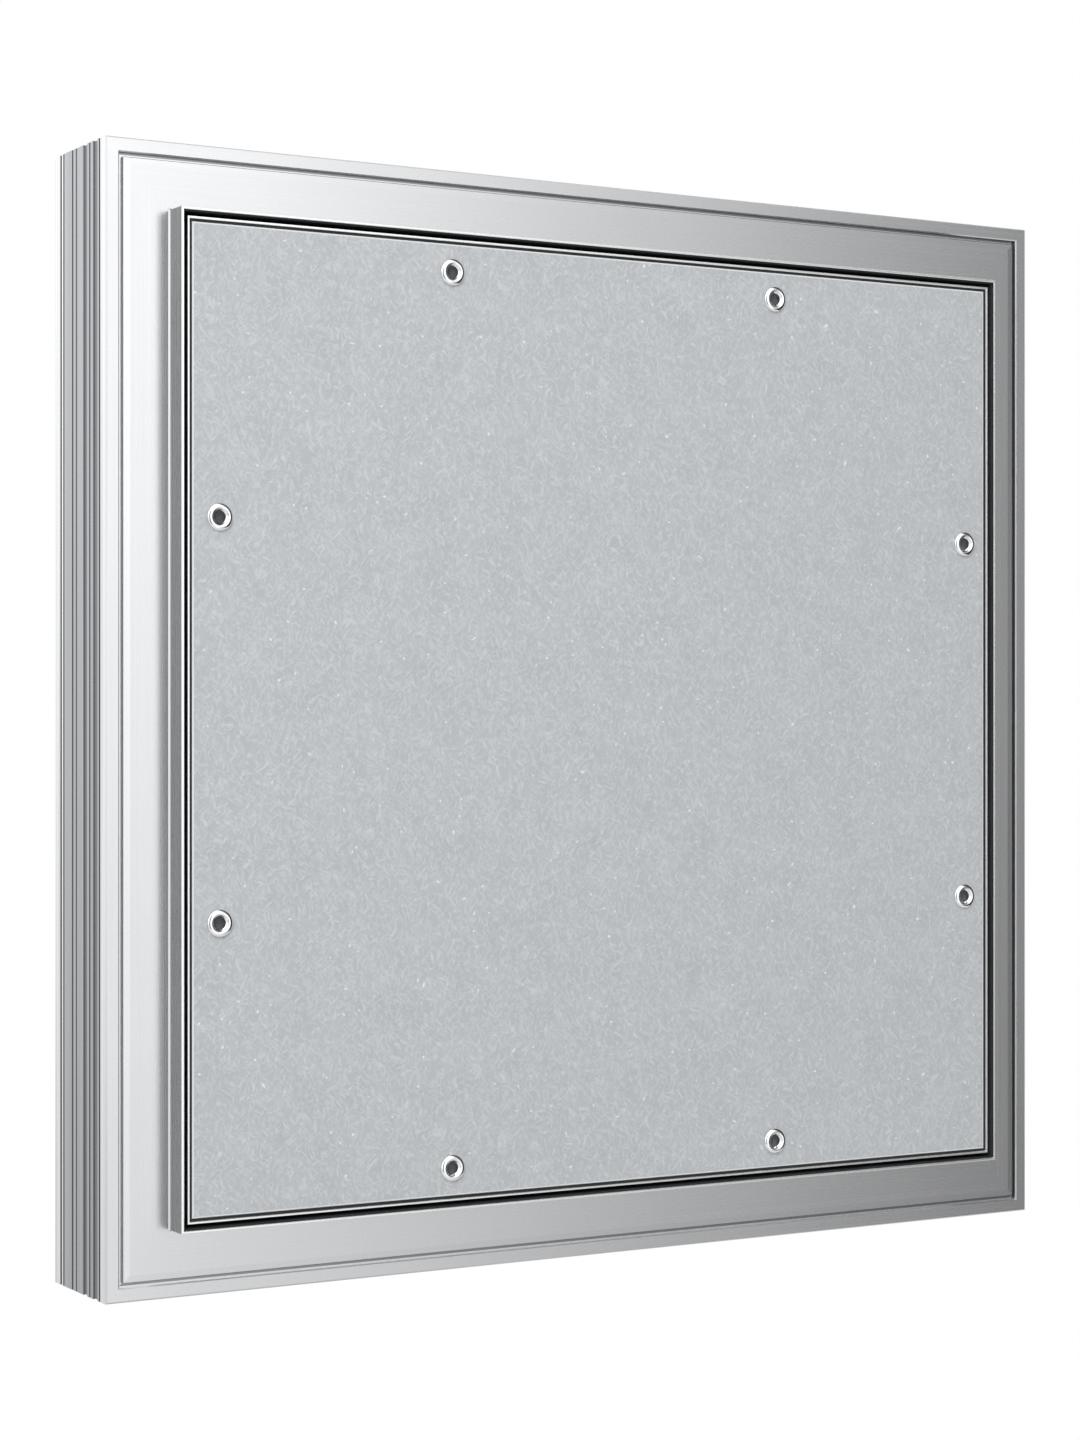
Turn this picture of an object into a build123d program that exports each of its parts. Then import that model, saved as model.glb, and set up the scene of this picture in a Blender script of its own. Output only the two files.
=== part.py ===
"""A square access panel whose leaf is tiled over, in a frame built into the wall.

X runs to the right, Y into the wall and Z up. The origin is the middle of the frame's rear plane.
Along the frame's sides, an inset is measured from the outer edge towards the middle, and a depth
from the front of the outer bead into the wall, so that what stands proud has a negative depth.
"""

import os
from math import cos, radians, sin

from build123d import *

os.makedirs("parts", exist_ok=True)

# Frame extrusion
frame_size = 400.0
frame_depth = 48.4
outer_wall = 2.0
inner_wall = 1.6
rear_wall = 1.6
bead_width = 5.0
channel_end = 6.55
channel_depth = 1.8
flange_depth = 0.2
front_wall_depth = 3.0
opening_inset = 24.55
flange_ease_width = 2.4
flange_ease_fall = 0.06
rim_wall = 0.95
rim_front = -10.5
rim_foot = 0.5
ledge_end = 29.0
ledge_depth = 7.2
stop_wall = 1.4
web_depth = 26.3
web_wall = 1.4
fixing_lip_end = 33.0
bead_bevel = 0.4
flange_bevel = 0.2
rim_bevel = 0.2

# Grooves rolled along the outer side: from depth, to depth
side_grooves = [
    (5.0, 6.1),
    (7.7, 11.7),
    (14.2, 15.2),
    (17.3, 20.9),
    (26.9, 27.7),
    (30.4, 31.5),
    (39.0, 40.0),
    (41.5, 42.8),
]
groove_relief = 0.35

# Screw holes that hold the frame in the wall
fixing_inset = 29.0
fixing_height = 160.0
fixing_radius = 1.9

# Gasket in the gap round the leaf
gasket_skin = 0.45
gasket_front = -9.8
gasket_foot_end = 28.6
gasket_foot_front = 5.3
gasket_rounding = 0.8

# Leaf extrusion
leaf_inset = 26.35
lip_wall = 0.95
lip_front = -8.9
lip_bevel = 0.2
leaf_ledge_front = 1.35
leaf_rear = 2.65
leaf_ledge_end = 52.0
leaf_leg_wall = 1.3
leaf_leg_rear = 9.0

# Board and its rivets
board_inset = 28.3
board_front = -8.65
board_bevel = 0.3
bead_front = -6.2
rivet_inset = 38.4
rivet_offset = 70.25
rivet_head_radius = 4.95
rivet_head_height = 1.5
rivet_head_edge = 0.3
rivet_dome_radius = 2.6
rivet_body_radius = 3.0
rivet_bore_radius = 2.2
rivet_bore_lead = 0.35
rivet_bulge_radius = 3.9
rivet_bulge_length = 2.6
mandrel_sink = 1.0

# Corner joints
key_clearance = 0.15
key_arm = 58.0
key_slot_length = 30.0
key_slot_width = 9.0
corner_plate_inset = 30.0
corner_plate_width = 14.0
corner_plate_arm = 37.0
corner_plate_thickness = 1.5
corner_rivet_spots = [19.0, 31.0]
corner_rivet_crown_radius = 2.0
corner_rivet_head_radius = 3.0
corner_rivet_head_height = 0.9

# Hinges: two pivots joined by a link, about upright axes
hinge_height = 106.0
frame_pivot = (35.0, 9.0)
link_length = 32.0
link_angle = 84.0
pin_radius = 2.0
pin_head_radius = 3.0
pin_head_height = 0.8
bush_radius = 2.7
bush_bore_radius = 2.05
link_half_height = 3.0
link_boss_half_height = 6.4
link_waist = 5.6
link_eye_radius = 4.0
frame_ear_inner = 3.4
frame_ear_outer = 5.4
leaf_ear_inner = 6.8
leaf_ear_outer = 8.8
leaf_eye_radius = 4.5
hinge_plate_thickness = 2.0
hinge_plate_half_length = 24.0
frame_plate_front = 10.4
frame_plate_rear = 24.0
frame_ear_angle = 200.0
ear_tail = (2.4, 3.2)
leaf_plate_inset = 40.0
leaf_plate_end = 50.4
hinge_screw_offset = 17.0
frame_screw_depth = 17.2
leaf_screw_inset = 45.2
screw_radius = 2.0
screw_tip = 1.4
screw_head_radius = 3.6
screw_crown_radius = 2.6
screw_head_height = 2.0

# Touch latches
latch_height = 106.0
latch_end = 44.55
latch_front = 12.0
latch_rear = 42.0
latch_half_height = 13.0
latch_lug_half_height = 23.0
latch_lug_wall = 3.0
latch_lug_front = 12.5
latch_lug_rear = 30.5
latch_screw_offset = 18.0
latch_wall = 3.0
latch_rounding = 1.5
cavity_half_height = 9.0
slider_clearance = 0.3
slider_front = 9.3
slider_rear = 26.0
slider_wall = 2.0
slider_pocket_rear = 17.2
slider_pocket_half_height = 6.0
slider_mouth_half_height = 2.95
slider_mouth_depth = 1.7
spring_radius = 3.6
spring_wire = 0.45
spring_turns = 4
spring_seat_depth = 2.0
striker_shank_radius = 1.9
striker_head_radius = 2.5
striker_head_front = 11.5
striker_tip = 14.0
striker_foot_radius = 4.5
striker_foot_height = 1.0
striker_bevel = 1.0

half_size = frame_size / 2
board_rear = leaf_ledge_front
grip = leaf_rear - board_front
ledge_wall = leaf_rear - leaf_ledge_front


def left(inset):
    """X of a point at an inset from the left edge."""
    return inset - half_size


def right(inset):
    """X of a point at an inset from the right edge."""
    return half_size - inset


def y_at(depth):
    """Y of a point at a depth behind the front of the outer bead."""
    return depth - frame_depth


def front_plane(depth):
    """The plane at a depth, seen from the front, with its normal out of the wall."""
    return Plane.XZ.offset(-y_at(depth))


def square(inset):
    """Side of the square at an inset all round."""
    return frame_size - 2 * inset


def side_turn(angle):
    """The turn about Y that carries the left side to another side."""
    return Location((0, 0, 0), (0, angle, 0))


def side_plane(angle):
    """The plane of a side's section: its X is the inset, its Y the depth, at one corner."""
    start = Plane(
        origin=(-half_size, -frame_depth, -half_size), x_dir=(1, 0, 0), z_dir=(0, 0, 1)
    )
    return Plane(side_turn(angle) * start.location)


def cut_mitres(angle):
    """Keep of the open part the triangle between the panel's middle and one side."""
    with BuildSketch(Plane(side_turn(angle) * Plane.XZ.location)) as wedge:
        Polygon((-half_size, -half_size), (-half_size, half_size), (0, 0), align=None)
    extrude(wedge.sketch, amount=2 * frame_depth, both=True, mode=Mode.INTERSECT)


def nearest(shapes, x, y):
    """The vertex of a sketch nearest to a point of it."""
    return shapes.sort_by_distance((x, y))[0]


def frame_member(angle):
    """One mitred length of the frame extrusion, with its two chambers and grooved outer side."""
    rim_start = opening_inset - rim_wall
    flange_edge = flange_depth + flange_ease_fall
    with BuildPart() as member:
        with BuildSketch(side_plane(angle)) as section:
            with BuildLine():
                Polyline(
                    (0, frame_depth),
                    (0, 0),
                    (bead_width, 0),
                    (bead_width, channel_depth),
                    (channel_end, channel_depth),
                    (channel_end, flange_edge),
                    (channel_end + flange_ease_width, flange_depth),
                    (rim_start - rim_foot, flange_depth),
                    (rim_start, flange_depth - rim_foot),
                    (rim_start, rim_front),
                    (opening_inset, rim_front),
                    (opening_inset, ledge_depth),
                    (ledge_end, ledge_depth),
                    (ledge_end, ledge_depth + stop_wall),
                    (opening_inset, ledge_depth + stop_wall),
                    (opening_inset, frame_depth - rear_wall),
                    (fixing_lip_end, frame_depth - rear_wall),
                    (fixing_lip_end, frame_depth),
                    close=True,
                )
            make_face()
            corners = section.vertices()
            chamfer([nearest(corners, 0, 0), nearest(corners, bead_width, 0)], bead_bevel)
            chamfer(nearest(section.vertices(), channel_end, flange_edge), flange_bevel)
            for inset in (rim_start, opening_inset):
                chamfer(nearest(section.vertices(), inset, rim_front), rim_bevel)
            chamfer(nearest(section.vertices(), 0, frame_depth), bead_bevel)
            chamber_end = opening_inset - inner_wall
            for front, rear in [
                (front_wall_depth, web_depth),
                (web_depth + web_wall, frame_depth - rear_wall),
            ]:
                with Locations((outer_wall, front)):
                    Rectangle(
                        chamber_end - outer_wall,
                        rear - front,
                        align=(Align.MIN, Align.MIN),
                        mode=Mode.SUBTRACT,
                    )
            for start, end in side_grooves:
                Polygon(
                    (0, start),
                    (groove_relief, start + groove_relief),
                    (groove_relief, end - groove_relief),
                    (0, end),
                    align=None,
                    mode=Mode.SUBTRACT,
                )
        extrude(amount=frame_size)
        cut_mitres(angle)
    return member.part


def leaf_member(angle):
    """One mitred length of the leaf's edge extrusion: lip, ledge under the board and leg."""
    leg_start = leaf_ledge_end - leaf_leg_wall
    with BuildPart() as member:
        with BuildSketch(side_plane(angle)) as section:
            with BuildLine():
                Polyline(
                    (leaf_inset, lip_front),
                    (leaf_inset + lip_wall, lip_front),
                    (leaf_inset + lip_wall, leaf_ledge_front),
                    (leaf_ledge_end, leaf_ledge_front),
                    (leaf_ledge_end, leaf_leg_rear),
                    (leg_start, leaf_leg_rear),
                    (leg_start, leaf_rear),
                    (leaf_inset, leaf_rear),
                    close=True,
                )
            make_face()
            for inset in (leaf_inset, leaf_inset + lip_wall):
                chamfer(nearest(section.vertices(), inset, lip_front), lip_bevel)
        extrude(amount=frame_size)
        cut_mitres(angle)
    return member.part


def bar(radius, start, end):
    """A cylinder along the local Z from start to end, for a bore or a shank."""
    with Locations((0, 0, start)):
        Cylinder(radius, end - start, align=(Align.CENTER, Align.CENTER, Align.MIN))


def drill(places, radius, start, end):
    """Drill the open part at each placed plane, between two heights along its normal."""
    with Locations(*[place.offset(start) for place in places]):
        Cylinder(
            radius,
            end - start,
            align=(Align.CENTER, Align.CENTER, Align.MIN),
            mode=Mode.SUBTRACT,
        )


def pan_screw(length):
    """A pan-head screw of a length, its head seated on the local XY plane."""
    with BuildPart() as screw:
        bar(screw_radius, -length, 0)
        with BuildSketch(Plane.XZ):
            Polygon(
                (0, 0),
                (screw_head_radius, 0),
                (screw_crown_radius, screw_head_height),
                (0, screw_head_height),
                align=None,
            )
        revolve(axis=Axis.Z)
    return screw.part


def place_copies(name, shape, places):
    """Put a copy of a shape at each place, as separate solids of one labelled node."""
    with BuildPart() as group:
        with Locations(*places):
            add(shape)
    finish(name, group.part)


def finish(name, part):
    """Label a finished piece and write it out."""
    part.label = name
    export_step(part, f"parts/{name}.step")


def facing(x, depth, z, direction):
    """A place at a point, with its normal along a direction."""
    return Plane(origin=(x, y_at(depth), z), z_dir=direction)


out_of_wall = (0, -1, 0)
into_wall = (0, 1, 0)
to_right = (1, 0, 0)
to_left = (-1, 0, 0)

hinge_centres = {"top": hinge_height, "bottom": -hinge_height}
latch_centres = {"top": latch_height, "bottom": -latch_height}
side_angles = {"left": 0, "top": 90, "right": 180, "bottom": 270}

frame_pivot_point = (left(frame_pivot[0]), y_at(frame_pivot[1]))
leaf_pivot_inset = frame_pivot[0] + link_length * cos(radians(link_angle))
leaf_pivot_depth = frame_pivot[1] + link_length * sin(radians(link_angle))
leaf_pivot_point = (left(leaf_pivot_inset), y_at(leaf_pivot_depth))
striker_inset = (opening_inset + latch_end) / 2

frame_screw_places = [
    facing(left(opening_inset + hinge_plate_thickness), frame_screw_depth, z + dz, to_right)
    for z in hinge_centres.values()
    for dz in (-hinge_screw_offset, hinge_screw_offset)
]
leaf_screw_places = [
    facing(left(leaf_screw_inset), leaf_rear + hinge_plate_thickness, z + dz, into_wall)
    for z in hinge_centres.values()
    for dz in (-hinge_screw_offset, hinge_screw_offset)
]
latch_screw_places = [
    facing(
        right(opening_inset + latch_lug_wall),
        (latch_lug_front + latch_lug_rear) / 2,
        z + dz,
        to_left,
    )
    for z in latch_centres.values()
    for dz in (-latch_screw_offset, latch_screw_offset)
]
striker_places = {
    name: facing(right(striker_inset), leaf_rear, z, into_wall)
    for name, z in latch_centres.items()
}
rivet_row = half_size - rivet_inset
rivet_places = [
    facing(x, board_front, z, out_of_wall)
    for x, z in [(dx, dz) for dx in (-rivet_offset, rivet_offset) for dz in (-rivet_row, rivet_row)]
    + [(dx, dz) for dx in (-rivet_row, rivet_row) for dz in (-rivet_offset, rivet_offset)]
]

# Frame members
for side, angle in side_angles.items():
    member_part = frame_member(angle)
    with BuildPart() as frame_side:
        add(member_part)
        if side in ("left", "right"):
            x = left(fixing_inset) if side == "left" else right(fixing_inset)
            fixing_places = [
                facing(x, frame_depth, z, into_wall) for z in (-fixing_height, fixing_height)
            ]
            drill(fixing_places, fixing_radius, -2 * rear_wall, rear_wall)
        if side == "left":
            drill(frame_screw_places, screw_radius, -hinge_plate_thickness - inner_wall, 0)
        if side == "right":
            drill(latch_screw_places, screw_radius, -latch_lug_wall - inner_wall, 0)
    finish(f"frame_{side}", frame_side.part)

# Corner keys, pressed into the rear chambers
key_start = outer_wall + key_clearance
key_end = opening_inset - inner_wall - key_clearance
key_depth = frame_depth - rear_wall - web_depth - web_wall
with BuildPart() as corner_key:
    with BuildSketch(front_plane(frame_depth - rear_wall)):
        Polygon(
            (left(key_start), left(key_start)),
            (left(key_start + key_arm), left(key_start)),
            (left(key_start + key_arm), left(key_end)),
            (left(key_end), left(key_end)),
            (left(key_end), left(key_start + key_arm)),
            (left(key_start), left(key_start + key_arm)),
            align=None,
        )
        slot_middle = left(key_end + key_slot_length / 2)
        arm_middle = left((key_start + key_end) / 2)
        with Locations((slot_middle, arm_middle)):
            SlotOverall(key_slot_length, key_slot_width, mode=Mode.SUBTRACT)
        with Locations((arm_middle, slot_middle)):
            SlotOverall(key_slot_length, key_slot_width, rotation=90, mode=Mode.SUBTRACT)
    extrude(amount=key_depth)
place_copies(
    "frame_corner_keys", corner_key.part, [side_turn(angle) for angle in side_angles.values()]
)

# Rubber gasket: a skin on the inner wall of the rim and a soft foot on the stop ledge
with BuildPart() as frame_gasket:
    with BuildSketch(front_plane(ledge_depth)):
        Rectangle(square(opening_inset), square(opening_inset))
        inner = square(opening_inset + gasket_skin)
        Rectangle(inner, inner, mode=Mode.SUBTRACT)
    extrude(amount=ledge_depth - gasket_front)
    with BuildSketch(front_plane(ledge_depth)):
        Rectangle(square(opening_inset + gasket_skin), square(opening_inset + gasket_skin))
        Rectangle(square(gasket_foot_end), square(gasket_foot_end), mode=Mode.SUBTRACT)
    extrude(amount=ledge_depth - gasket_foot_front)
    foot_front = frame_gasket.faces().filter_by(Axis.Y).sort_by(Axis.Y)[1]
    fillet(foot_front.inner_wires()[0].edges(), gasket_rounding)
finish("frame_gasket", frame_gasket.part)

# Leaf members
for side, angle in side_angles.items():
    member_part = leaf_member(angle)
    with BuildPart() as leaf_side:
        add(member_part)
        drill(rivet_places, rivet_body_radius, -grip, 0)
        if side == "left":
            drill(leaf_screw_places, screw_radius, -hinge_plate_thickness - ledge_wall, 0)
        if side == "right":
            drill(striker_places.values(), striker_shank_radius, -ledge_wall, 0)
    finish(f"leaf_{side}", leaf_side.part)

# Fibre board that the tiles are laid on
with BuildPart() as leaf_board:
    with BuildSketch(front_plane(board_rear)):
        Rectangle(square(board_inset), square(board_inset))
    extrude(amount=board_rear - board_front)
    front_face = leaf_board.faces().sort_by(Axis.Y)[0]
    chamfer(front_face.edges(), board_bevel)
    drill(rivet_places, rivet_body_radius, -grip, rivet_head_height)
finish("leaf_board", leaf_board.part)

# Soft black bead between the lip and the board
with BuildPart() as board_bead:
    with BuildSketch(front_plane(board_rear)):
        Rectangle(square(leaf_inset + lip_wall), square(leaf_inset + lip_wall))
        Rectangle(square(board_inset), square(board_inset), mode=Mode.SUBTRACT)
    extrude(amount=board_rear - bead_front)
finish("board_bead", board_bead.part)

# Blind rivets that hold the board, with a low domed head round an open bore
with BuildPart() as board_rivet:
    with BuildSketch(Plane.XZ):
        mouth = (rivet_bore_radius + rivet_bore_lead, rivet_head_height)
        rim = (rivet_head_radius, rivet_head_edge)
        tail = -grip - rivet_bulge_length
        with BuildLine():
            Line((rivet_bore_radius, rivet_head_height - rivet_bore_lead), mouth)
            RadiusArc(mouth, rim, rivet_dome_radius)
            Polyline(
                rim,
                (rivet_head_radius, 0),
                (rivet_body_radius, 0),
                (rivet_body_radius, -grip),
                (rivet_bulge_radius, -grip),
                (rivet_body_radius, tail),
                (rivet_bore_radius, tail),
                (rivet_bore_radius, rivet_head_height - rivet_bore_lead),
            )
        make_face()
    revolve(axis=Axis.Z)
place_copies("board_rivets", board_rivet.part, rivet_places)

# Mandrel left in each rivet when its stem snaps off
with BuildPart() as mandrel:
    bar(rivet_bore_radius, tail, -mandrel_sink)
place_copies("rivet_mandrels", mandrel.part, rivet_places)

# Flat corner plates that hold the leaf members together, behind the ledge
plate_start = corner_plate_inset
plate_end = corner_plate_inset + corner_plate_width
rivet_line = corner_plate_inset + corner_plate_width / 2
corner_rivet_places = [
    facing(*spot, into_wall)
    for along in corner_rivet_spots
    for spot in [
        (left(plate_start + along), leaf_rear + corner_plate_thickness, left(rivet_line)),
        (left(rivet_line), leaf_rear + corner_plate_thickness, left(plate_start + along)),
    ]
]
with BuildPart() as corner_plate:
    with BuildSketch(front_plane(leaf_rear + corner_plate_thickness)):
        Polygon(
            (left(plate_start), left(plate_start)),
            (left(plate_start + corner_plate_arm), left(plate_start)),
            (left(plate_start + corner_plate_arm), left(plate_end)),
            (left(plate_end), left(plate_end)),
            (left(plate_end), left(plate_start + corner_plate_arm)),
            (left(plate_start), left(plate_start + corner_plate_arm)),
            align=None,
        )
    extrude(amount=corner_plate_thickness)
place_copies(
    "leaf_corner_plates", corner_plate.part, [side_turn(angle) for angle in side_angles.values()]
)
with BuildPart() as corner_rivet:
    Cone(
        corner_rivet_head_radius,
        corner_rivet_crown_radius,
        corner_rivet_head_height,
        align=(Align.CENTER, Align.CENTER, Align.MIN),
    )
with BuildPart() as corner_rivet_set:
    with Locations(*corner_rivet_places):
        add(corner_rivet.part)
place_copies(
    "leaf_corner_rivets",
    corner_rivet_set.part,
    [side_turn(angle) for angle in side_angles.values()],
)


def frame_hinge_bracket(centre):
    """A plate on the frame's inner wall with two ears that carry the first pin."""
    wall_x = left(opening_inset)
    plate_x = left(opening_inset + hinge_plate_thickness)
    ear_angle = radians(frame_ear_angle)
    ear_shoulder = (
        frame_pivot_point[0] + link_eye_radius * cos(ear_angle),
        frame_pivot_point[1] + link_eye_radius * sin(ear_angle),
    )
    with BuildPart() as bracket:
        with BuildSketch(Plane.XY.offset(centre - hinge_plate_half_length)):
            Polygon(
                (wall_x, y_at(frame_plate_front)),
                (plate_x, y_at(frame_plate_front)),
                (plate_x, y_at(frame_plate_rear)),
                (wall_x, y_at(frame_plate_rear)),
                align=None,
            )
        extrude(amount=2 * hinge_plate_half_length)
        for side in (-1, 1):
            with BuildSketch(Plane.XY.offset(centre + side * frame_ear_inner)):
                with Locations(frame_pivot_point):
                    Circle(link_eye_radius)
                Polygon(
                    (plate_x - hinge_plate_thickness / 2, y_at(frame_plate_front)),
                    ear_shoulder,
                    (frame_pivot_point[0] + ear_tail[0], frame_pivot_point[1] + ear_tail[1]),
                    (plate_x - hinge_plate_thickness / 2, y_at(frame_plate_rear)),
                    align=None,
                )
                with Locations(frame_pivot_point):
                    Circle(pin_radius, mode=Mode.SUBTRACT)
            extrude(amount=side * (frame_ear_outer - frame_ear_inner))
        drill(frame_screw_places, screw_radius, -hinge_plate_thickness, 0)
    return bracket.part


def hinge_link(centre):
    """The link arm, with an eye at each pivot and a taller boss between the leaf's ears."""
    with BuildPart() as link:
        with BuildSketch(Plane.XY.offset(centre - link_half_height)):
            with Locations(frame_pivot_point, leaf_pivot_point):
                Circle(link_eye_radius)
            middle = (Vector(*frame_pivot_point) + Vector(*leaf_pivot_point)) / 2
            with Locations(Location((middle.X, middle.Y, 0), (0, 0, link_angle))):
                Rectangle(link_length, link_waist)
        extrude(amount=2 * link_half_height)
        with BuildSketch(Plane.XY.offset(centre - link_boss_half_height)):
            with Locations(leaf_pivot_point):
                Circle(link_eye_radius)
        extrude(amount=2 * link_boss_half_height)
        with Locations((*frame_pivot_point, centre), (*leaf_pivot_point, centre)):
            Cylinder(bush_radius, 2 * link_boss_half_height, mode=Mode.SUBTRACT)
    return link.part


def leaf_hinge_bracket(centre):
    """A plate behind the leaf's ledge with two long ears that carry the second pin."""
    plate_rear = y_at(leaf_rear + hinge_plate_thickness)
    with BuildPart() as bracket:
        with BuildSketch(Plane.XY.offset(centre - hinge_plate_half_length)):
            Polygon(
                (left(leaf_plate_inset), y_at(leaf_rear)),
                (left(leaf_plate_end), y_at(leaf_rear)),
                (left(leaf_plate_end), plate_rear),
                (left(leaf_plate_inset), plate_rear),
                align=None,
            )
        extrude(amount=2 * hinge_plate_half_length)
        for side in (-1, 1):
            with BuildSketch(Plane.XY.offset(centre + side * leaf_ear_inner)):
                with BuildLine():
                    Line(
                        (left(leaf_plate_inset), y_at(leaf_rear)),
                        (left(leaf_plate_end), y_at(leaf_rear)),
                    )
                    CenterArc(leaf_pivot_point, leaf_eye_radius, 0, 360)
                make_hull()
                with Locations(leaf_pivot_point):
                    Circle(pin_radius, mode=Mode.SUBTRACT)
            extrude(amount=side * (leaf_ear_outer - leaf_ear_inner))
        drill(leaf_screw_places, screw_radius, -hinge_plate_thickness, 0)
    return bracket.part


def headed_pin(half_length):
    """A riveted pin with a flat head at each end, about the local Z."""
    with BuildPart() as pin:
        bar(pin_radius, -half_length, half_length)
        bar(pin_head_radius, half_length, half_length + pin_head_height)
        bar(pin_head_radius, -half_length - pin_head_height, -half_length)
    return pin.part


def bush(half_length):
    """A plain bush pressed into an eye of the link, about the local Z."""
    with BuildPart() as sleeve:
        Cylinder(bush_radius, 2 * half_length)
        Cylinder(bush_bore_radius, 2 * half_length, mode=Mode.SUBTRACT)
    return sleeve.part


# Concealed hinges
frame_pin_places = [Location((*frame_pivot_point, z)) for z in hinge_centres.values()]
leaf_pin_places = [Location((*leaf_pivot_point, z)) for z in hinge_centres.values()]
for name, centre in hinge_centres.items():
    finish(f"hinge_frame_bracket_{name}", frame_hinge_bracket(centre))
    finish(f"hinge_link_{name}", hinge_link(centre))
    finish(f"hinge_leaf_bracket_{name}", leaf_hinge_bracket(centre))
place_copies("hinge_frame_pins", headed_pin(frame_ear_outer), frame_pin_places)
place_copies("hinge_leaf_pins", headed_pin(leaf_ear_outer), leaf_pin_places)
place_copies("hinge_frame_bushes", bush(link_half_height), frame_pin_places)
place_copies("hinge_leaf_bushes", bush(link_boss_half_height), leaf_pin_places)
place_copies(
    "hinge_frame_screws",
    pan_screw(hinge_plate_thickness + inner_wall + screw_tip),
    frame_screw_places,
)
place_copies("hinge_leaf_screws", pan_screw(hinge_plate_thickness + ledge_wall), leaf_screw_places)
place_copies("latch_screws", pan_screw(latch_lug_wall + inner_wall + screw_tip), latch_screw_places)


def latch_housing(centre):
    """A moulded housing with two screw lugs and a cavity open to the front for the slider."""
    body_start = right(opening_inset)
    with BuildPart() as housing:
        with BuildSketch(Plane.XY.offset(centre - latch_half_height)):
            with Locations((body_start, y_at(latch_front))):
                Rectangle(
                    latch_end - opening_inset,
                    latch_rear - latch_front,
                    align=(Align.MAX, Align.MIN),
                )
        extrude(amount=2 * latch_half_height)
        inner_face = housing.faces().sort_by(Axis.X)[0]
        fillet(inner_face.edges(), latch_rounding)
        with BuildSketch(Plane.XY.offset(centre - latch_lug_half_height)):
            with Locations((body_start, y_at(latch_lug_front))):
                Rectangle(
                    latch_lug_wall,
                    latch_lug_rear - latch_lug_front,
                    align=(Align.MAX, Align.MIN),
                )
        extrude(amount=2 * latch_lug_half_height)
        with BuildSketch(front_plane(latch_rear - latch_wall)):
            with Locations((right(striker_inset), centre)):
                Rectangle(
                    latch_end - opening_inset - 2 * latch_wall,
                    2 * cavity_half_height,
                )
        extrude(amount=latch_rear, mode=Mode.SUBTRACT)
        drill(latch_screw_places, screw_radius, -latch_lug_wall, 0)
    return housing.part


def latch_slider(centre):
    """The latch's slider: a block with a pocket for the striker, behind two hooked jaws."""
    width = latch_end - opening_inset - 2 * latch_wall - 2 * slider_clearance
    height = 2 * (cavity_half_height - slider_clearance)
    middle = (right(striker_inset), centre)
    with BuildPart() as slider:
        with BuildSketch(front_plane(slider_rear)):
            with Locations(middle):
                Rectangle(width, height)
        extrude(amount=slider_rear - slider_front)
        with BuildSketch(front_plane(slider_pocket_rear)):
            with Locations(middle):
                Rectangle(width - 2 * slider_wall, 2 * slider_pocket_half_height)
        extrude(
            amount=slider_pocket_rear - slider_front - slider_mouth_depth, mode=Mode.SUBTRACT
        )
        with BuildSketch(front_plane(slider_pocket_rear)):
            with Locations(middle):
                Rectangle(width - 2 * slider_wall, 2 * slider_mouth_half_height)
        extrude(amount=slider_pocket_rear, mode=Mode.SUBTRACT)
        with BuildSketch(front_plane(slider_rear)):
            with Locations(middle):
                Circle(spring_radius + 2 * spring_wire)
        extrude(amount=spring_seat_depth, mode=Mode.SUBTRACT)
    return slider.part


# Touch latches and the strikers that they hold
with BuildPart() as striker:
    with BuildSketch(Plane.XZ):
        with BuildLine():
            Polyline(
                (0, -ledge_wall),
                (striker_shank_radius, -ledge_wall),
                (striker_shank_radius, 0),
                (striker_foot_radius, 0),
                (striker_foot_radius, striker_foot_height),
                (striker_shank_radius, striker_foot_height),
                (striker_shank_radius, striker_head_front - leaf_rear - striker_bevel),
                (striker_head_radius, striker_head_front - leaf_rear),
                (striker_head_radius, striker_tip - leaf_rear - striker_bevel),
                (striker_shank_radius, striker_tip - leaf_rear),
                (0, striker_tip - leaf_rear),
                close=True,
            )
        make_face()
    revolve(axis=Axis.Z)
spring_front = slider_rear - spring_seat_depth + spring_wire
spring_rear = latch_rear - latch_wall - spring_wire
spring_length = spring_rear - spring_front
with BuildPart() as latch_spring:
    with BuildLine() as coil:
        Helix(spring_length / spring_turns, spring_length, spring_radius)
    with BuildSketch(Plane(origin=coil.line @ 0, z_dir=coil.line % 0)):
        RegularPolygon(spring_wire, 4)
    sweep(path=coil.line, is_frenet=True)
for name, centre in latch_centres.items():
    spring_place = facing(right(striker_inset), spring_front, centre, into_wall)
    finish(f"latch_housing_{name}", latch_housing(centre))
    finish(f"latch_slider_{name}", latch_slider(centre))
    place_copies(f"latch_spring_{name}", latch_spring.part, [spring_place])
    place_copies(f"latch_striker_{name}", striker.part, [striker_places[name]])
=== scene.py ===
"""The finished look of a tileable access panel, section by section, as the panel is put together.

X runs to the right, Y into the wall and Z up. The origin is the middle of the frame's rear plane.
An inset is measured from the frame's outer edge towards the middle, and a depth from the front of
its outer bead into the wall, both in millimetres, so what stands proud has a negative depth.
"""

from math import pi, radians

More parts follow.
